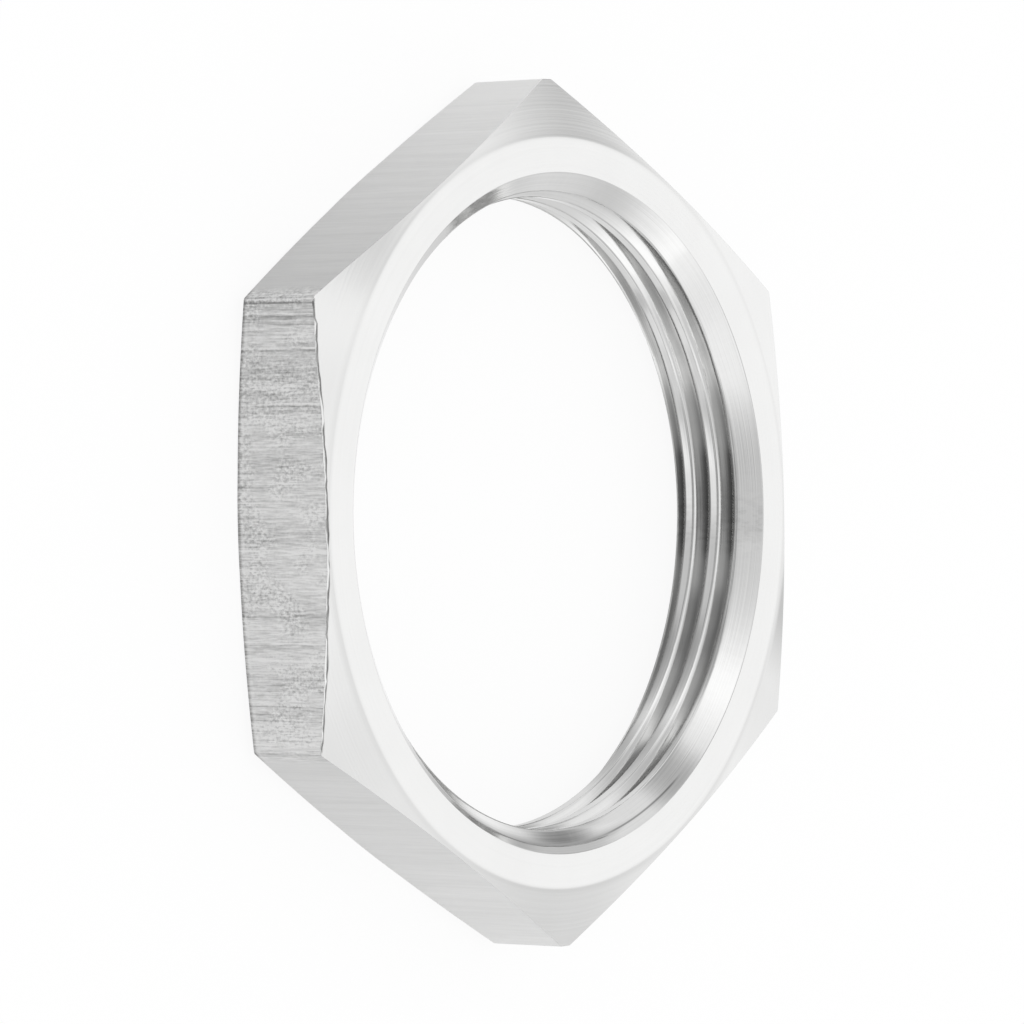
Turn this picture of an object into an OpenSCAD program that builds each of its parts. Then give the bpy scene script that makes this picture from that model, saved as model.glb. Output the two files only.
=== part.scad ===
// Thin hex lock nut, lying on its lower bearing face with the thread axis along Z.
// All sizes are in millimetres and degrees.

/* [Hexagon] */
// From the roots of the thread's groove out to the flats
ring_wall = 2; // [1.5:0.25:6]
// Height from the lower bearing face to the upper one
thickness = 5.3; // [4:0.1:12]
// How far the sharp corners of the hexagon are turned down
corner_cut = 0.2; // [0.05:0.05:1]

/* [Bearing faces] */
// Slope of the turned chamfers, measured from the face
chamfer_angle = 13; // [8:1:30]
// From the flats in to the edge of the upper bearing face
top_face_inset = 0.25; // [0.05:0.05:0.8]
// From the flats in to the edge of the lower bearing face
bottom_face_inset = 0.05; // [0.05:0.05:0.8]

/* [Thread] */
// Diameter over the groove roots
thread_major_d = 32; // [16:0.5:60]
// Rise of the thread in one turn
thread_pitch = 1.5; // [1.5:0.25:2]
// Depth of the groove, from crest to root
thread_depth = 0.9; // [0.5:0.05:0.95]
// Lean of each flank from the plane across the axis
flank_angle = 30; // [25:0.5:30]
// Direction in which the groove crosses the middle of the thickness
thread_phase = 67; // [0:1:360]
// Flat steps in one turn of the groove
steps_per_turn = 72; // [36:6:90]

/* [Countersinks] */
// From the groove roots out to the rim of each countersink
countersink_margin = 0.15; // [0.05:0.05:0.5]
// Lean of each countersink from the axis
countersink_angle = 50; // [30:1:60]

/* [Hidden] */
$fn = 180;

SIDES = 6;
HALF_TURN = 180;
FULL_TURN = 360;

// The groove's cutter reaches this far inside the crests
groove_overlap = 0.1;
// The flat at the groove's root, as a share of the pitch
ROOT_SHARE = 1 / 8;

root_r = thread_major_d / 2;
flat_r = root_r + ring_wall;
sharp_corner_r = flat_r / cos(HALF_TURN / SIDES);
corner_r = sharp_corner_r - corner_cut;
crest_r = root_r - thread_depth;
rim_r = root_r + countersink_margin;
countersink_depth = (rim_r - crest_r) / tan(countersink_angle);

// The groove's section, as radius and height: its root flat outside, its open side inside the crests
open_r = crest_r - groove_overlap;
root_half = thread_pitch * ROOT_SHARE / 2;
open_half = root_half + (root_r - open_r) * tan(flank_angle);
groove_section = [
    [open_r, -open_half],
    [root_r, -root_half],
    [root_r, root_half],
    [open_r, open_half]
];

// The helix runs one turn past each face, in equal numbers of steps above and below mid-thickness
groove_turns = thickness / thread_pitch + 2;
groove_steps = 2 * ceil(groove_turns * steps_per_turn / 2);
first_angle = thread_phase - groove_steps / steps_per_turn * HALF_TURN;

function step_angle(i) = first_angle + i * FULL_TURN / steps_per_turn;
function step_height(i) = thickness / 2 + (step_angle(i) - thread_phase) / FULL_TURN * thread_pitch;
function helix_point(i, p) = [p.x * cos(step_angle(i)), p.x * sin(step_angle(i)), step_height(i) + p.y];

// Round blank: both bearing faces, the chamfers around them and the turned-down corners
module turned_blank() {
    top_r = flat_r - top_face_inset;
    bottom_r = flat_r - bottom_face_inset;
    rotate_extrude()
        polygon([
            [0, 0],
            [bottom_r, 0],
            [corner_r, (corner_r - bottom_r) * tan(chamfer_angle)],
            [corner_r, thickness - (corner_r - top_r) * tan(chamfer_angle)],
            [top_r, thickness],
            [0, thickness]
        ]);
}

// Hexagonal bar with two of its flats across X, longer than the blank on both sides
module hexagon_bar() {
    rotate([0, 0, HALF_TURN / SIDES])
        translate([0, 0, -thickness])
            cylinder(h = 3 * thickness, r = sharp_corner_r, $fn = SIDES);
}

// Hole at the crests of the thread; each countersink's cone runs on past its face by its own depth
module countersunk_hole() {
    mouth_r = 2 * rim_r - crest_r;
    rotate_extrude()
        polygon([
            [0, -countersink_depth],
            [mouth_r, -countersink_depth],
            [crest_r, countersink_depth],
            [crest_r, thickness - countersink_depth],
            [mouth_r, thickness + countersink_depth],
            [0, thickness + countersink_depth]
        ]);
}

// Right-hand groove: its section carried up the helix, step by step
module thread_groove() {
    corners = len(groove_section);
    polyhedron(
        points = [for (i = [0 : groove_steps]) for (p = groove_section) helix_point(i, p)],
        faces = concat(
            [[for (j = [corners - 1 : -1 : 0]) j]],
            [for (i = [0 : groove_steps - 1]) for (j = [0 : corners - 1])
                let (next = (j + 1) % corners, below = i * corners, above = below + corners)
                [below + j, below + next, above + next, above + j]],
            [[for (j = [0 : corners - 1]) groove_steps * corners + j]]
        )
    );
}

module lock_nut() {
    color("silver")
        difference() {
            intersection() {
                turned_blank();
                hexagon_bar();
            }
            countersunk_hole();
            thread_groove();
        }
}

lock_nut();
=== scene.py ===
"""Dresses the thin hex lock nut: one closed threaded ring with drawn flats and turned faces, on a
pale floor."""

import math

import bpy
import numpy as np
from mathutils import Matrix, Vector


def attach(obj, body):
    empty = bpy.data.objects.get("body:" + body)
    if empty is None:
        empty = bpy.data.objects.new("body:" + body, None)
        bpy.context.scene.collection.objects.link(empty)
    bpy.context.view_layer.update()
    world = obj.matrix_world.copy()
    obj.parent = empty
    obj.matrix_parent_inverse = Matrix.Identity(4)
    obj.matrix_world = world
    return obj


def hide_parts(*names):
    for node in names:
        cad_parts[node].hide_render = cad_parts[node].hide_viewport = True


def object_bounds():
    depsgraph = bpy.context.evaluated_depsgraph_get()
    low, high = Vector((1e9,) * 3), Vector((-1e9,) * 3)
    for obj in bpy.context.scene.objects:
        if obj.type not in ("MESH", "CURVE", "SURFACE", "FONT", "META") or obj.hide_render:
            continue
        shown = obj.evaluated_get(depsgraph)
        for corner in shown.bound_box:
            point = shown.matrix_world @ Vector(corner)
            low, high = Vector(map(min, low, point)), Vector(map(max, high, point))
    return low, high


bl_info = {
    "name": "Thin hex lock nut",
    "version": (1, 0, 0),
    "blender": (4, 5, 0),
    "location": "View3D > Sidebar > Lock nut",
    "description": "Builds the dressed lock nut and its pale studio",
    "category": "Object",
}

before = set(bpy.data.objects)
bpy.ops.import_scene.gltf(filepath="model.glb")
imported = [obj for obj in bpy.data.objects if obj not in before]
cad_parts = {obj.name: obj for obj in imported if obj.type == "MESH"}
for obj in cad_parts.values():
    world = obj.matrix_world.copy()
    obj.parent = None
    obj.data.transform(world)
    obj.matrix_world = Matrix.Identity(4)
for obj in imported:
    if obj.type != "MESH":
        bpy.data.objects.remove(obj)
CAD_BOX = [[float(v) for v in corner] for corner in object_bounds()]
FLAT_R = CAD_BOX[1][0]
THICKNESS = CAD_BOX[1][2]
CORNER_R = CAD_BOX[1][1]
MM = 0.001
TURN = 2 * math.pi


# Settings that a user would change

class LockNutShape(bpy.types.PropertyGroup):
    """Sizes of the dressed surface that the solid leaves plain."""

    root_r: bpy.props.FloatProperty(
        name="Thread root radius", description="From the axis to the groove's root before it is rounded",
        default=0.01586, unit="LENGTH", precision=5)
    root_soft: bpy.props.FloatProperty(
        name="Root rounding", description="Width of the rounding in the groove's root",
        default=0.00015, unit="LENGTH", precision=5)
    crest_r: bpy.props.FloatProperty(
        name="Thread crest radius", description="From the axis to the thread's crest",
        default=0.01502, unit="LENGTH", precision=5)
    crest_soft: bpy.props.FloatProperty(
        name="Crest rounding", description="Width of the rounding on the thread's crest",
        default=0.00002, unit="LENGTH", precision=5)
    thread_pitch: bpy.props.FloatProperty(
        name="Thread pitch", description="Rise of the thread in one turn",
        default=0.0015, unit="LENGTH", precision=5)
    thread_phase: bpy.props.FloatProperty(
        name="Thread phase", description="Where the groove crosses mid-thickness",
        default=math.radians(72), subtype="ANGLE")
    flank_lean: bpy.props.FloatProperty(
        name="Flank angle", description="Lean of each flank from the plane across the axis",
        default=math.radians(30), subtype="ANGLE")
    rim_r: bpy.props.FloatProperty(
        name="Countersink rim radius", description="From the axis to the rim of each countersink",
        default=0.01615, unit="LENGTH", precision=5)
    sink_lean: bpy.props.FloatProperty(
        name="Countersink angle", description="Lean of each countersink from the axis",
        default=math.radians(53), subtype="ANGLE")
    top_inset: bpy.props.FloatProperty(
        name="Upper face inset", description="From the flats in to the edge of the upper face",
        default=0.00025, unit="LENGTH", precision=5)
    bottom_inset: bpy.props.FloatProperty(
        name="Lower face inset", description="From the flats in to the edge of the lower face",
        default=0.00005, unit="LENGTH", precision=5)
    chamfer_slope: bpy.props.FloatProperty(
        name="Chamfer angle", description="Slope of the turned chamfers from the face",
        default=math.radians(13), subtype="ANGLE")
    edge_soft: bpy.props.FloatProperty(
        name="Edge softness", description="How far an edge's rounding reaches from its sharp line",
        default=0.00006, unit="LENGTH", precision=6)
    step_soft: bpy.props.FloatProperty(
        name="Step softness", description="How far the rounding of the small step's edges reaches",
        default=0.000018, unit="LENGTH", precision=6)
    step_width: bpy.props.FloatProperty(
        name="Step width", description="Width of the small step along the rubbed flat's front edge",
        default=0.00012, unit="LENGTH", precision=6)
    step_height: bpy.props.FloatProperty(
        name="Step height", description="Height of the small step along the rubbed flat's front edge",
        default=0.00007, unit="LENGTH", precision=6)
    side_corner: bpy.props.FloatProperty(
        name="Side corners", description="How much less the four corners beside the X axis are turned down",
        default=0.000175, unit="LENGTH", precision=6)


class LockNutFinish(bpy.types.PropertyGroup):
    """Colours and gloss of the bright metal."""

    drawn_colour: bpy.props.FloatVectorProperty(
        name="Drawn flats", description="Reflectance of the drawn flats", subtype="COLOR", size=4,
        min=0, max=1, default=(0.975, 0.975, 0.97, 1))
    turned_colour: bpy.props.FloatVectorProperty(
        name="Turned faces", description="Reflectance of the turned faces", subtype="COLOR", size=4,
        min=0, max=1, default=(0.895, 0.895, 0.89, 1))
    bore_colour: bpy.props.FloatVectorProperty(
        name="Bore", description="Reflectance of the thread and countersinks", subtype="COLOR", size=4,
        min=0, max=1, default=(0.975, 0.975, 0.97, 1))
    drawn_roughness: bpy.props.FloatProperty(
        name="Drawn roughness", description="Roughness of the drawn flats", default=0.36, min=0, max=1)
    drawn_metallic: bpy.props.FloatProperty(
        name="Drawn metal", description="Share of metal gloss on the frosted, drawn flats",
        default=0.65, min=0, max=1)
    turned_roughness: bpy.props.FloatProperty(
        name="Turned roughness", description="Roughness of the turned faces", default=0.22, min=0, max=1)
    bore_roughness: bpy.props.FloatProperty(
        name="Bore roughness", description="Roughness of the thread and countersinks",
        default=0.08, min=0, max=1)


class LockNutStudio(bpy.types.PropertyGroup):
    """Camera, floor and light."""

    camera_place: bpy.props.FloatVectorProperty(
        name="Camera place", description="Where the camera stands", subtype="TRANSLATION", size=3,
        default=(-0.242446, 0.007456, 0.187778))
    camera_turn: bpy.props.FloatVectorProperty(
        name="Camera turn", description="How the camera is turned", subtype="EULER", size=3,
        default=tuple(math.radians(a) for a in (0.23653, -52.55271, -2.0445)))
    lens: bpy.props.FloatProperty(
        name="Lens", description="Focal length of the camera in millimetres", default=225.2, min=1)
    floor_reach: bpy.props.FloatProperty(
        name="Floor reach", description="Radius of the floor", default=1.5, unit="LENGTH")
    floor_shade: bpy.props.FloatProperty(
        name="Floor shade", description="How much of the object's shadow the floor keeps",
        default=0.10, min=0, max=1)
    tent_strength: bpy.props.FloatProperty(
        name="Tent strength", description="Strength of the light tent in the metal; 1 is white",
        default=1.0, min=0)


# Shader maths

class Wire:
    """One shader socket. Arithmetic on it adds Math nodes to its tree."""

    def __init__(self, tree, socket):
        self.tree, self.socket = tree, socket

    def math(self, operation, *values):
        return self.tree.add("ShaderNodeMath", {"operation": operation}, dict(enumerate((self, *values))))

    def __add__(self, other): return self.math("ADD", other)
    def __radd__(self, other): return self.math("ADD", other)
    def __mul__(self, other): return self.math("MULTIPLY", other)
    def __rmul__(self, other): return self.math("MULTIPLY", other)
    def __sub__(self, other): return self.math("SUBTRACT", other)
    def __rsub__(self, other): return (self * -1) + other
    def __truediv__(self, other): return self.math("DIVIDE", other)
    def __abs__(self): return self.math("ABSOLUTE")

    def sqrt(self): return self.math("SQRT")
    def most(self, other): return self.math("MAXIMUM", other)

    def step(self, low, high):
        """0 below low, 1 above high and a smooth rise between them; low may be the larger."""
        return self.tree.add("ShaderNodeMapRange", {"interpolation_type": "SMOOTHSTEP"},
                             {"Value": self, "From Min": low, "From Max": high})

    def bell(self, centre, half):
        """1 at centre, falling smoothly to 0 at half on both sides."""
        return abs(self - centre).step(half, 0)


class Tree:
    """The node tree of a material or a world, started empty."""

    def __init__(self, owner):
        owner.use_nodes = True
        self.nodes, self.links = owner.node_tree.nodes, owner.node_tree.links
        self.nodes.clear()

    def add(self, kind, settings=None, inputs=None, out=0):
        """Adds a node: its settings first, then the values or links of its sockets."""
        node = self.nodes.new(kind)
        for name, value in (settings or {}).items():
            setattr(node, name, value)
        for name, value in (inputs or {}).items():
            if isinstance(value, Wire):
                self.links.new(value.socket, node.inputs[name])
            else:
                node.inputs[name].default_value = value
        return Wire(self, node.outputs[out])

    def place(self):
        """The Object coordinates in millimetres, as three values."""
        split = self.add("ShaderNodeSeparateXYZ", inputs={
            0: self.add("ShaderNodeTexCoord", out="Object")}).socket.node
        return [Wire(self, split.outputs[i]) * round(1 / MM) for i in range(3)]

    def noise(self, x, y, z, detail=2.0, roughness=0.5):
        """Noise from 0 to 1 at a point of three values."""
        point = self.add("ShaderNodeCombineXYZ", inputs={0: x, 1: y, 2: z})
        return self.add("ShaderNodeTexNoise", {"noise_dimensions": "3D"},
                        {"Vector": point, "Scale": 1.0, "Detail": detail, "Roughness": roughness})

    def blend(self, factor, first, second):
        """A colour between first and second."""
        mix = self.nodes.new("ShaderNodeMix")
        mix.data_type = "RGBA"
        for name, value in (("Factor_Float", factor), ("A_Color", first), ("B_Color", second)):
            socket = next(s for s in mix.inputs if s.identifier == name)
            if isinstance(value, Wire):
                self.links.new(value.socket, socket)
            else:
                socket.default_value = value
        return Wire(self, next(s for s in mix.outputs if s.identifier == "Result_Color"))

    def tinted(self, colour, tone, low=0.4):
        """colour times a tone, as a blend of two of its shades, from low to the lightest below white."""
        high = 1 / max(colour[:3])
        return self.blend((tone - low) / (high - low), shade(colour, low), shade(colour, high))

    def finish(self, kind, shader):
        """Links the shader to a new output node."""
        node = self.nodes.new(kind)
        self.links.new(shader.socket, node.inputs["Surface"])


def shade(colour, factor):
    """colour made darker or lighter by a plain number."""
    return (*(min(1.0, c * factor) for c in colour[:3]), 1.0)


def metal(name, make):
    """A metal material whose pattern comes from make(tree), as colour, roughness, height, the reach
    of that height in metres and the share of metal."""
    material = bpy.data.materials.new(name)
    tree = Tree(material)
    colour, roughness, height, reach, share = make(tree)
    normal = tree.add("ShaderNodeBump", inputs={"Strength": 1.0, "Distance": reach, "Height": height})
    tree.finish("ShaderNodeOutputMaterial", tree.add("ShaderNodeBsdfPrincipled", inputs={
        "Base Color": colour, "Metallic": share, "Roughness": roughness, "Normal": normal}))
    return material


# The nut's surface

def soft_max(a, b, width):
    """The larger of a and b, rounded where they meet: half of a + b + the root of (a - b)² + width²."""
    return (a + b + np.sqrt((a - b) ** 2 + width ** 2)) / 2


def soft_min(a, b, width):
    """The smaller of a and b, rounded where they meet."""
    return (a + b - np.sqrt((a - b) ** 2 + width ** 2)) / 2


def waves(s, seed):
    """Smooth noise of about ±1 along a length s: a sum of nine sines with seeded phases, the longest 6 mm,
    each 0.72 as long and 0.85 as high as the one before."""
    rng = np.random.default_rng(seed)
    order = np.arange(9)
    rates = TURN / (6.0 * 0.72 ** order) * rng.uniform(0.9, 1.1, len(order))
    phases = rng.uniform(0, TURN, len(order))
    return (np.sin(s[:, None] * rates + phases) * 0.85 ** order).sum(1) / 2.2


SIDES = 6
HALF_SECTOR = 30.0
RUBBED = 3
NEAR_CORNER = 1.8


def column_angles():
    """Angles of the mesh's columns: six sectors from corner to corner, close-set near the corners,
    and more columns across the rubbed flat, whose normal is at 180 degrees."""
    near = -HALF_SECTOR + NEAR_CORNER * np.linspace(0, 1, 17)[:-1] ** 2
    start = HALF_SECTOR - NEAR_CORNER

    def sector(middle):
        return np.concatenate([near, np.linspace(-start, start, middle), -near[:0:-1]])
    return np.radians(np.concatenate(
        [2 * HALF_SECTOR * k + sector(110 if k == RUBBED else 40) for k in range(SIDES)]))


def groove_radius(offset, shape):
    """Radius of the thread at an axial offset from the groove's middle: the root, a flank that falls
    by one over the flank angle's tangent, and the crest's flat, with soft corners."""
    root, crest = shape.root_r / MM, shape.crest_r / MM
    flat = shape.thread_pitch / MM * 0.03
    flank = root - (np.abs(offset) - flat) / math.tan(shape.flank_lean)
    return soft_max(soft_min(root, flank, shape.root_soft / MM), crest, shape.crest_soft / MM)


# The small step on the rubbed flat, in millimetres along the flat: where it ends, and where its stub starts
STEP_END = 10.35
STUB_START = 9.3
# Width that the step's two corners take up on the chamfer where there is no step
NO_STEP = 0.1


def front_step(phi, along, shape):
    """The small step along the rubbed flat's front edge, for each column: its share, from 0 off the flat
    to 1 on it, its width, its drop, and the stub, which is 1 over the last millimetre at +Y, where the
    step is narrow, deep and leaning. Width and drop waver along the edge."""
    share = np.where(np.round(phi / (TURN / SIDES)) % SIDES == RUBBED,
                     np.clip((STEP_END - np.abs(along)) / 0.2, 0, 1), 0)
    stub = np.clip((-STUB_START - along) / 0.15, 0, 1)
    wide = (1 - 0.65 * stub) * (1 + 0.35 * (1 - stub) * waves(along, 5))
    deep = np.clip(0.85 + 0.6 * waves(along, 8), 0.15, 2) + 0.8 * stub
    width = (1 - share) * NO_STEP + share * shape.step_width / MM * np.maximum(wide, 0.15)
    return share, width, shape.step_height / MM * deep, stub


# Height of the section's first and last corner inside the countersinks
MOUTH = 0.2
# Corners of the section that belong to the step, and the flat's upper end
STEP_CORNERS = (3, 4, 5)
WALL_TOP = 5


def outer_rows(phi, shape):
    """The section from the upper countersink over both faces and the outside to the lower one.
    Each column is a polygon of eight corners: rim, face edge, the riser's top and foot, the flat's
    upper end, its lower end, face edge and rim. The riser is a small step that the rubbed flat has
    along its front edge; elsewhere its two corners lie on the chamfer. Each corner is a quadratic
    Bezier arc between two points set back along its sides. Returns the rows, and the first and last
    row of the drawn wall."""
    across, thick = FLAT_R / MM, THICKNESS / MM
    half = math.radians(HALF_SECTOR)
    delta = (phi + half) % (2 * half) - half
    beside = np.abs(np.cos(phi)) > 0.5
    turned_down = CORNER_R / MM + np.where(beside, shape.side_corner / MM, 0)
    wall = soft_min(across / np.cos(delta), turned_down, 0.008)
    along = across * np.tan(delta)
    share, width, drop, stub = front_step(phi, along, shape)
    plain = 1 - share

    # The upper chamfer is up to a quarter flatter near the corner at 150 degrees
    slope = math.tan(shape.chamfer_slope)
    upper = slope * (1 - 0.24 * np.exp(-((np.degrees(phi) - 150) / 5.5) ** 2))
    lean = MOUTH * math.tan(shape.sink_lean)
    rim = np.full_like(phi, shape.rim_r / MM)
    top, bottom = (np.full_like(phi, across - inset / MM) for inset in (shape.top_inset, shape.bottom_inset))
    flat_top = np.full_like(phi, thick)
    foot = thick - (wall - width - top) * upper
    corners = np.array([
        [rim - lean, flat_top - MOUTH],
        [rim, flat_top],
        [top, flat_top],
        [wall - width, foot],
        [wall - width * (1 - share * (0.12 + 0.8 * stub) - plain * 0.5),
         foot - share * drop - plain * width * 0.5 * upper],
        [wall, foot - share * (drop + width * 0.1) - plain * width * upper],
        [wall, (wall - bottom) * slope],
        [bottom, np.zeros_like(phi)],
        [rim, np.zeros_like(phi)],
        [rim - lean, np.full_like(phi, MOUTH)],
    ])
    soft = shape.edge_soft / MM
    sharp = plain * soft + share * shape.step_soft / MM
    reach = [0, soft * 0.7, soft * 1.5, sharp, sharp, sharp, soft * 1.5, soft, soft * 0.7, 0]
    rows, starts, last = [], [], len(corners) - 2
    for k in range(1, last + 1):
        here = corners[k]
        to_back, to_ahead = corners[k - 1] - here, corners[k + 1] - here
        long_back, long_ahead = np.hypot(*to_back), np.hypot(*to_ahead)
        cut = np.minimum(reach[k], np.minimum(long_back, long_ahead) * 0.42)
        a = here + to_back / long_back * cut
        b = here + to_ahead / long_ahead * cut
        if k > 1:
            rows.append(a + to_back / long_back * np.minimum(0.08, long_back * 0.06))
        starts.append(len(rows))
        for t in np.linspace(0, 1, 4 if k in STEP_CORNERS else 6):
            rows.append(a * (1 - t) ** 2 + 2 * here * t * (1 - t) + b * t ** 2)
        if k < last:
            rows.append(b + to_ahead / long_ahead * np.minimum(0.08, long_ahead * 0.06))
    return np.array(rows), (starts[WALL_TOP - 1] + 1, starts[WALL_TOP] + 3)


# Rows of the bore in one turn of the thread, and the zones in the order of their materials
ROWS_A_TURN = 34
DRAWN, TURNED, COUNTERSINK, THREAD = range(4)


def nut_surface(shape):
    """The whole nut as one closed surface over angle and section row. The bore's rows climb with the
    thread: row j stands at height start + pitch (j / rows a turn + angle / full turn), and its radius
    is the largest of the groove's section and the two countersink cones. Rows past a rim fall on it.
    Returns points in metres, triangles and each triangle's zone."""
    phi = column_angles()
    pitch, thick, rim = shape.thread_pitch / MM, THICKNESS / MM, shape.rim_r / MM
    shell, wall = outer_rows(phi, shape)
    low_edge, high_edge = shell[-1, 1, 0], shell[0, 1, 0]
    start = -pitch * 1.05
    count = int(math.ceil((thick - start) / pitch * ROWS_A_TURN)) + 4
    j = np.arange(count)
    phase = thick / 2 - pitch * (shape.thread_phase / TURN)
    offset = (start + pitch * j / ROWS_A_TURN - phase + pitch / 2) % pitch - pitch / 2
    groove = groove_radius(offset, shape)
    z = start + pitch * (j[None, :] / ROWS_A_TURN + phi[:, None] / TURN)
    sink = math.tan(shape.sink_lean)
    cone = soft_max(rim - (thick - z) * sink, rim - z * sink, 0.01)
    r = soft_max(groove[None, :], cone, 0.02)
    columns, rows = len(phi), len(shell)
    outer = np.arange(columns * rows).reshape(columns, rows)
    inner = np.arange(columns * count).reshape(columns, count) + columns * rows
    above, below = z >= high_edge, z <= low_edge
    inner = np.where(above, outer[:, :1], np.where(below, outer[:, -1:], inner))
    radius = np.concatenate([shell[:, 0, :].T.ravel(), r.ravel()])
    height = np.concatenate([shell[:, 1, :].T.ravel(), z.ravel()])
    angle = np.concatenate([np.repeat(phi, rows), np.repeat(phi, count)])
    points = np.stack([radius * np.cos(angle), radius * np.sin(angle), height], 1) * MM

    # The column after the last one is the first, one turn further up
    after = np.concatenate([inner[1:], np.concatenate(
        [inner[0, ROWS_A_TURN:], np.repeat(outer[0, 0], ROWS_A_TURN)])[None, :]])
    shell_zones = np.full((columns, rows), TURNED)
    shell_zones[:, slice(*wall)] = DRAWN
    bore_zones = np.where(cone > groove[None, :], COUNTERSINK, THREAD)
    tris, zones = [], []
    for here, there, zone in ((outer, np.roll(outer, -1, 0), shell_zones), (inner, after, bore_zones)):
        a, b, c, d = here[:, :-1], here[:, 1:], there[:, 1:], there[:, :-1]
        both = np.concatenate([np.stack([a, b, c], 2).reshape(-1, 3), np.stack([a, c, d], 2).reshape(-1, 3)])
        tris.append(both)
        zones.append(np.tile(zone[:, :-1].reshape(-1), 2))
    tris, zones = np.concatenate(tris), np.concatenate(zones)
    real = (tris[:, 0] != tris[:, 1]) & (tris[:, 1] != tris[:, 2]) & (tris[:, 2] != tris[:, 0])
    tris, zones = tris[real], zones[real]
    used, tris = np.unique(tris, return_inverse=True)
    return points[used], tris.reshape(-1, 3), zones


def surface_normals(points, tris):
    """Normals at the points: the sum of the triangles' cross products, so that wide faces stay flat."""
    a, b, c = (points[tris[:, k]] for k in range(3))
    cross = np.cross(b - a, c - a)
    normals = np.stack(
        [np.bincount(tris.ravel(), np.repeat(cross[:, k], 3), len(points)) for k in range(3)], 1)
    return normals / np.linalg.norm(normals, axis=1, keepdims=True)


# The metal's patterns

# Marks on the rubbed flat, the first two a painted highlight and a painted shade line beside the rounded
# corner at 150 degrees: height along Y in millimetres, half-width, tone and where along Z they fade in
MARKS_AND_CORNER_SHADING = (
    (10.33, 0.06, 0.14, -1.0),
    (10.17, 0.10, -0.36, -1.0),
    (9.66, 0.07, 0.16, -1.0),
    (9.53, 0.06, -0.16, -1.0),
    (9.36, 0.06, 0.12, -1.0),
    (9.18, 0.06, -0.14, 2.0),
    (8.13, 0.08, 0.20, -1.0),
    (8.01, 0.06, -0.12, -1.0),
    (5.60, 0.07, 0.20, 1.6),
    (5.47, 0.08, -0.26, 1.2),
    (4.25, 0.06, -0.18, 3.0),
    (-4.65, 0.07, -0.20, 2.4),
    (-5.30, 0.08, 0.16, -1.0),
    (-6.10, 0.06, 0.14, -1.0),
    (-6.95, 0.07, -0.22, 0.4),
    (-8.20, 0.05, -0.24, -1.0),
    (-8.85, 0.06, -0.20, -1.0),
)


# Painted reflections on the chamfer, light and dark patches that bring its tones closer to the photo's:
# where round the axis and half-width in degrees, and tone
CHAMFER_PAINTED_REFLECTIONS = (
    (-165, 20, 0.07),
    (-75, 14, 0.05),
    (-45, 14, 0.06),
    (-16, 13, -0.36),
    (75, 14, 0.08),
    (135, 14, -0.08),
)


def drawn_pattern(tree, shape, finish):
    """Drawn flats: streaks along the axis over a slow change of tone. The rubbed flat at -X has
    grain, pits, single marks, a painted highlight and a painted shade line beside its upper corner, and a
    painted reflection of the contact shadow along its lower edge as well."""
    x, y, z = tree.place()
    rubbed = x.step(-17.0, -17.9)
    upper, lower = y.step(10.1, 10.7), y.step(-10.1, -10.7)
    slow = (upper * (0.17 - abs(x) * 0.0169) + lower * (0.07 - abs(x) * 0.0073)
            - (1 - upper - lower) * (y * 0.01 + y.bell(-5.5, 5.0) * 0.04))
    fine = tree.noise(x * 5.5, y * 5.5, z * 0.2, 3, 0.6) - 0.5
    grain = tree.noise(x * 11, y * 11, z * 1.1, 2, 0.6) - 0.5
    lines = tree.noise(x * 1.6 + 7, y * 1.6, z * 0.09, 2, 0.5) - 0.5
    scratch = tree.noise(x * 3.1, y * 3.1 + 3, z * 0.13, 1, 0.4).step(0.66, 0.76)
    harsh = 0.4 + 0.6 * y.step(-4.0, -6.5)
    pits = tree.noise(x * 6.5, y * 6.5, z * 5.0, 3, 0.6) - 0.5
    patch = tree.noise(x * 0.5, y * 0.5, z * 0.5 + 9, 1, 0.4).step(0.42, 0.62).most(y.bell(6.2, 2.4)) + 0.25
    # Single marks, with a painted highlight and a painted shade line beside the upper corner
    marks = sum((y + z * 0.012).bell(place, half) * z.step(start, start + 0.8) * depth
                for place, half, depth, start in MARKS_AND_CORNER_SHADING)
    radius = (x * x + y * y).sqrt()
    behind = z - (radius - (FLAT_R - shape.bottom_inset) / MM) * math.tan(shape.chamfer_slope)
    # A painted reflection of the contact shadow: darker along the lower edge, with a faint lighter band
    # above it
    painted_contact_shade = behind.step(0.24, 0.08) * 0.33 - behind.bell(0.33, 0.12) * 0.06
    tone = (0.87 + slow + fine * (0.14 + rubbed * harsh * 0.95) + lines * (0.12 + rubbed * 0.45)
            + grain * (0.06 + rubbed * 0.85)
            + rubbed * (pits * patch * 1.1 + marks - scratch * harsh * 0.2 - painted_contact_shade))
    colour = tree.tinted(finish.drawn_colour, tone, 0.3)
    rough = fine * 0.15 + finish.drawn_roughness
    height = fine * (0.3 + rubbed * 0.5) + rubbed * (grain * 0.5 + pits * patch * 0.8 - scratch * 0.5)
    share = finish.drawn_metallic + rubbed * y.step(-3.0, -6.5) * fine.step(0.02, 0.14) * 0.3
    return colour, rough, height, 0.00001, share


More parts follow.
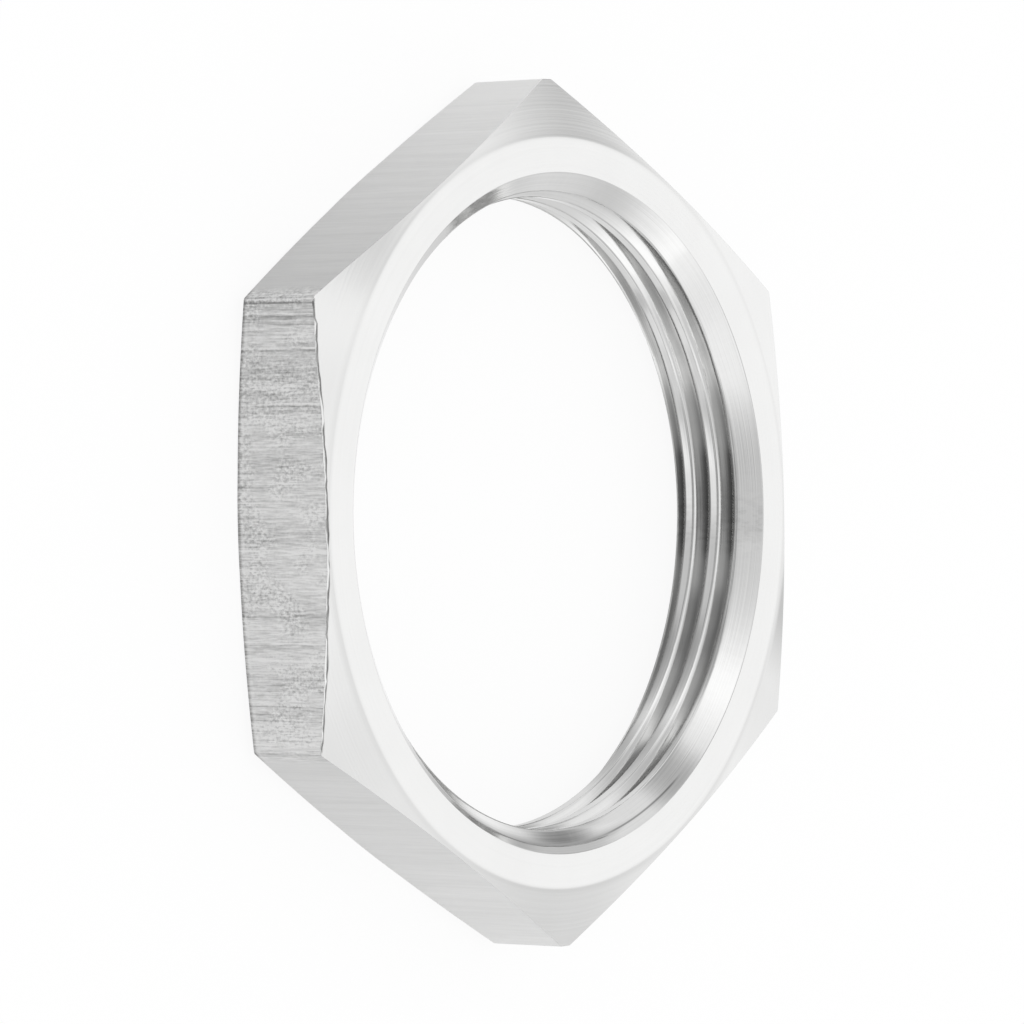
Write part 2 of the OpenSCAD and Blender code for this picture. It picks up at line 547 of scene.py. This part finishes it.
def turned_pattern(tree, shape, finish):
    """Turned faces: faint rings round the axis, a soft ring of painted shade where chamfer and face meet,
    and painted reflections on the chamfer.
    """
    x, y, z = tree.place()
    r = (x * x + y * y).sqrt()
    rings = tree.noise(r * 9, x * 0.04, y * 0.04, 2, 0.5) - 0.5
    cloud = tree.noise(x * 0.35, y * 0.35, z * 0.35, 2, 0.5) - 0.5
    # A soft ring of painted shade where chamfer and face meet
    meet = r.bell((FLAT_R - shape.top_inset) / MM + 0.15, 0.3)
    turn = y.math("ARCTAN2", x)
    # Painted reflections on the chamfer: lighter and darker patches round the axis
    painted_reflections = sum(turn.bell(math.radians(middle), math.radians(half)) * depth
               for middle, half, depth in CHAMFER_PAINTED_REFLECTIONS)
    tone = 1 + rings * 0.05 + cloud * 0.05 - meet * 0.05 + painted_reflections * r.step(17.9, 18.4)
    colour = tree.tinted(finish.turned_colour, tone)
    rough = rings * 0.08 + finish.turned_roughness
    return colour, rough, rings, 0.000002, 1.0


def sink_pattern(tree, shape, finish):
    """Countersinks: fine turning marks round the axis, faint chatter across them and one painted dark
    reflection.
    """
    place = tree.place()
    return bore_marks(tree, shape, finish, place, painted_dark_reflection(place))


def thread_pattern(tree, shape, finish):
    """Thread: the same marks, with painted shade in the groove that darkens from the crests to the roots,
    and painted reflections that darken it near 0 and -57 degrees and lighten it at -46. It fades to the
    countersinks' own tone where the groove runs out into them."""
    place = tree.place()
    x, y, z = place
    r = (x * x + y * y).sqrt()
    turn = y.math("ARCTAN2", x)
    # Painted shade in the groove, deepest at the roots
    depth = r.step((shape.crest_r + 0.00023) / MM, (shape.root_r - 0.00006) / MM)
    # How dark the painted shade is round the axis: painted reflections darken it near 0 and -57 degrees and
    # lighten it at -46
    thick = (0.36 + abs(turn).step(0.19, 0.14) * 0.16 + turn.bell(-1.0, 0.14) * 0.22
             - turn.bell(-0.81, 0.05) * 0.2)
    lean, rim, height = math.tan(shape.sink_lean), shape.rim_r / MM, THICKNESS / MM
    cone = (rim - (height - z) * lean).most(rim - z * lean)
    inside = (r - cone).step(0.0, 0.12)
    return bore_marks(tree, shape, finish, place, depth * thick * inside + painted_dark_reflection(place) * (1 - inside))


def painted_dark_reflection(place):
    """A painted dark reflection on the countersinks, at -105 degrees."""
    return place[1].math("ARCTAN2", place[0]).bell(-1.83, 0.14) * 0.26


def bore_marks(tree, shape, finish, place, painted_darkening):
    """Rings and chatter of the bore's metal, darker by the painted shade and painted reflections given, and
    a painted shade line along the helix where the groove runs out into the upper countersink."""
    x, y, z = place
    r = (x * x + y * y).sqrt()
    turn = y.math("ARCTAN2", x)
    rings = tree.noise((r + z) * 10, turn * 1.5, 0.0, 2, 0.5) - 0.5
    chatter = tree.noise(turn * 55, (r + z) * 1.2, 3.0, 2, 0.6) - 0.5
    pitch = shape.thread_pitch / MM
    climb = THICKNESS / MM / 2 - pitch * shape.thread_phase / TURN + 2 * pitch
    # A painted shade line along the helix where the groove runs out into the upper countersink
    edge = ((z - turn * (pitch / TURN)).bell(climb - 0.08, 0.05)
            * turn.step(-1.42, -1.3) * turn.step(-0.95, -1.04))
    marks = 1 + rings * 0.14 + chatter * (0.05 + 0.5 * turn.bell(-0.06, 0.13))
    tone = marks * (1 - painted_darkening) * (1 - edge * 0.6)
    colour = tree.tinted(finish.bore_colour, tone)
    rough = rings * 0.06 + finish.bore_roughness
    return colour, rough, rings + chatter * 0.3, 0.000002, 1.0


class LOCKNUT_OT_nut(bpy.types.Operator):
    """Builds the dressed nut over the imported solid"""

    bl_idname = "lock_nut.build_nut"
    bl_label = "Build the nut"

    def execute(self, context):
        shape, finish = context.scene.lock_nut_shape, context.scene.lock_nut_finish
        points, tris, zones = nut_surface(shape)
        mesh = bpy.data.meshes.new("lock_nut_surface")
        mesh.from_pydata(points, [], tris.tolist())
        mesh.polygons.foreach_set("use_smooth", np.ones(len(tris), bool))
        mesh.polygons.foreach_set("material_index", zones.astype(np.int32))
        mesh.update()
        mesh.normals_split_custom_set_from_vertices(surface_normals(points, tris))
        for name, pattern in (("drawn_flats", drawn_pattern), ("turned_faces", turned_pattern),
                              ("countersinks", sink_pattern), ("thread_metal", thread_pattern)):
            mesh.materials.append(metal(name, lambda tree: pattern(tree, shape, finish)))
        nut = bpy.data.objects.new("lock_nut_dressed", mesh)
        context.scene.collection.objects.link(nut)
        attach(nut, "root")
        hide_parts("lock_nut")
        return {"FINISHED"}


# Camera, floor and light

SENSOR_MM = 36
FLOOR_SIDES = 96
FLOOR_HEIGHT = -0.00001


def toward(azimuth, elevation):
    """The unit vector at an azimuth from +X toward +Y and an elevation above the floor, in degrees."""
    a, e = math.radians(azimuth), math.radians(elevation)
    return (math.cos(a) * math.cos(e), math.sin(a) * math.cos(e), math.sin(e))


class LOCKNUT_OT_studio(bpy.types.Operator):
    """Sets the camera, the pale floor and the light tent"""

    bl_idname = "lock_nut.build_studio"
    bl_label = "Build the studio"

    def execute(self, context):
        scene, studio = context.scene, context.scene.lock_nut_studio
        lens = bpy.data.cameras.new("photo_camera")
        lens.lens, lens.sensor_width = studio.lens, SENSOR_MM
        lens.clip_start, lens.clip_end = 0.01, 20
        camera = bpy.data.objects.new("photo_camera", lens)
        camera.location, camera.rotation_euler = studio.camera_place, studio.camera_turn
        scene.collection.objects.link(camera)
        scene.camera = camera

        around = np.arange(FLOOR_SIDES) * TURN / FLOOR_SIDES
        rim = np.stack([np.cos(around), np.sin(around), 0 * around], 1) * studio.floor_reach
        rim[:, 2] = FLOOR_HEIGHT
        disc = bpy.data.meshes.new("pale_floor")
        disc.from_pydata(rim, [], [list(range(FLOOR_SIDES))])
        disc.materials.append(self.floor_material(studio))
        floor = bpy.data.objects.new("pale_floor", disc)
        scene.collection.objects.link(floor)
        floor.visible_glossy = False
        self.light_tent(scene, studio)
        scene.view_settings.view_transform = "Standard"
        return {"FINISHED"}

    @staticmethod
    def floor_material(studio):
        """White to the camera and in the metal, with part of a plain diffuse floor's shadow."""
        material = bpy.data.materials.new("pale_floor")
        tree = Tree(material)
        ray = tree.add("ShaderNodeLightPath").socket.node
        seen = Wire(tree, ray.outputs["Is Camera Ray"]).most(
            Wire(tree, ray.outputs["Is Glossy Ray"])).most(Wire(tree, ray.outputs["Is Transmission Ray"]))
        plain = tree.add("ShaderNodeBsdfDiffuse", inputs={"Color": (0.98, 0.98, 0.98, 1)})
        white = tree.add("ShaderNodeEmission", inputs={"Color": (1, 1, 1, 1), "Strength": 1.0})
        tree.finish("ShaderNodeOutputMaterial", tree.add("ShaderNodeMixShader", inputs={
            0: seen * (1 - studio.floor_shade), 1: plain, 2: white}))
        return material

    @staticmethod
    def light_tent(scene, studio):
        """A white tent all round with a few soft dark cards, as directions of the world."""
        world = bpy.data.worlds.new("light_tent")
        tree = Tree(world)
        direction = tree.add("ShaderNodeTexCoord", out="Generated")
        level = None
        for azimuth, elevation, inner, outer, depth in CARDS:
            near = tree.add("ShaderNodeVectorMath", {"operation": "DOT_PRODUCT"},
                            {0: direction, 1: toward(azimuth, elevation)}, out="Value")
            card = near.step(math.cos(math.radians(outer)), math.cos(math.radians(inner)))
            kept = 1 - card * depth
            level = kept if level is None else level * kept
        mirrored = Wire(tree, tree.add("ShaderNodeLightPath").socket.node.outputs["Is Glossy Ray"])
        strength = 1 - mirrored * (1 - level * studio.tent_strength)
        tree.finish("ShaderNodeOutputWorld", tree.add("ShaderNodeBackground", inputs={
            "Color": (1, 1, 1, 1), "Strength": strength}))
        world.cycles.sampling_method = "NONE"
        scene.world = world


# The tent's dark cards: azimuth, elevation, half-angles where a card is full and gone, and how dark it is.
# A scratch program fitted these numbers to tones read from the photo; none was chosen by hand.
CARDS = (
    (170, 24, 43, 61, 0.44),
    (89, -24, 67, 80, 0.29),
    (-81, -73, 21, 55, 0.47),
    (-36, 28, 1, 22, 0.36),
    (-65, 71, 14, 21, 0.31),
    (-106, -19, 1, 17, 0.68),
    (49, 55, 1, 18, 0.61),
    (27, 26, 1, 13, 0.75),
    (122, -16, 1, 19, 0.51),
    (90, -3, 3, 13, 0.68),
    (72, 35, 1, 13, 0.50),
    (62, 76, 1, 19, 0.44),
    (-177, -8, 11, 24, 0.66),
    (120, -51, 8, 24, 0.60),
    (-99, 38, 4, 18, 0.26),
    (-150, -22, 1, 19, 0.65),
    (-27, -11, 3, 36, 0.38),
    (77, -54, 10, 25, 0.52),
    (-124, -24, 5, 15, 0.49),
    (142, -21, 1, 14, 0.46),
    (39, 8, 9, 19, 0.27),
    (-147, 55, 4, 19, 0.32),
    (22, -16, 4, 23, 0.54),
    (-96, -38, 1, 6, 0.27),
    (-119, 58, 31, 35, 0.13),
    (-74, 4, 22, 37, 0.47),
    (161, -23, 27, 40, 0.25),
    (173, 38, 21, 22, 0.39),
    (-32, 54, 3, 10, 0.13),
    (-138, -40, 1, 11, 0.29),
    (85, -21, 2, 19, 0.36),
)


class LOCKNUT_PT_panel(bpy.types.Panel):
    """Lists the steps that build the nut and its studio"""

    bl_label = "Lock nut"
    bl_idname = "LOCKNUT_PT_panel"
    bl_space_type = "VIEW_3D"
    bl_region_type = "UI"
    bl_category = "Lock nut"

    def draw(self, context):
        for operator in (LOCKNUT_OT_nut, LOCKNUT_OT_studio):
            self.layout.operator(operator.bl_idname)
        for group in GROUPS:
            settings = getattr(context.scene, group)
            box = self.layout.box()
            for name in settings.__annotations__:
                box.prop(settings, name)


GROUPS = {"lock_nut_shape": LockNutShape, "lock_nut_finish": LockNutFinish, "lock_nut_studio": LockNutStudio}
CLASSES = (LockNutShape, LockNutFinish, LockNutStudio, LOCKNUT_OT_nut, LOCKNUT_OT_studio, LOCKNUT_PT_panel)


def register():
    for cls in CLASSES:
        bpy.utils.register_class(cls)
    for name, cls in GROUPS.items():
        setattr(bpy.types.Scene, name, bpy.props.PointerProperty(type=cls))


def unregister():
    for name in GROUPS:
        delattr(bpy.types.Scene, name)
    for cls in reversed(CLASSES):
        bpy.utils.unregister_class(cls)


def main():
    register()
    bpy.ops.lock_nut.build_nut()
    bpy.ops.lock_nut.build_studio()
    bpy.context.view_layer.update()


if __name__ == "__main__":
    main()
